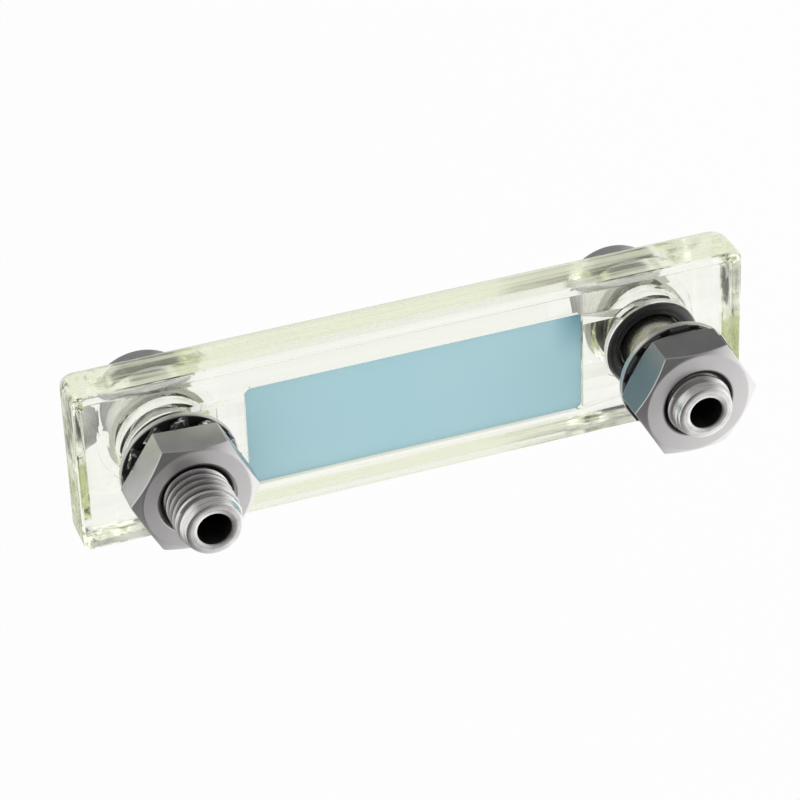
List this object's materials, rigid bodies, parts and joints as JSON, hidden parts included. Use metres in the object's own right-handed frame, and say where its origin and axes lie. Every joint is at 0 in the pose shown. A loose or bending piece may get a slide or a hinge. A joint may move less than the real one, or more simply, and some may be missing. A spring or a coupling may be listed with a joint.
{
  "type": "tank level gauge",
  "caption": "Clear hydraulic tank level gauge with a flush rear cover, pale blue contrast sheet and hollow M10 bolts with O-rings, washers and nuts.",
  "frame": {"origin": "midway between the two bolt axes, in the tank-side plane of the housing", "axes": "+Z towards the upper bolt, +Y out of the tank-side face along the bolts, -Y towards the reader"},
  "size_m": [0.0268, 0.0375, 0.105],
  "materials": {
    "clear_plastic": "clear moulded plastic with a faint yellow-green tint",
    "blue_sheet": "matt pale blue film",
    "bolt_steel": "turned stainless steel",
    "nut_steel": "bright stainless steel",
    "washer_steel": "bright stainless steel",
    "seal_rubber": "black nitrile rubber, slightly glossy"
  },
  "bodies": {
    "root": {"sight_housing": "clear_plastic", "rear_cover": "clear_plastic", "backing_sheet": "blue_sheet", "upper_bolt": "bolt_steel", "lower_bolt": "bolt_steel", "upper_head_seal": "seal_rubber", "lower_head_seal": "seal_rubber", "upper_tank_seal": "seal_rubber", "lower_tank_seal": "seal_rubber", "upper_flat_washer": "washer_steel", "lower_flat_washer": "washer_steel", "upper_lock_washer": "washer_steel", "lower_lock_washer": "washer_steel", "upper_nut": "nut_steel", "lower_nut": "nut_steel"}
  },
  "joints": []
}
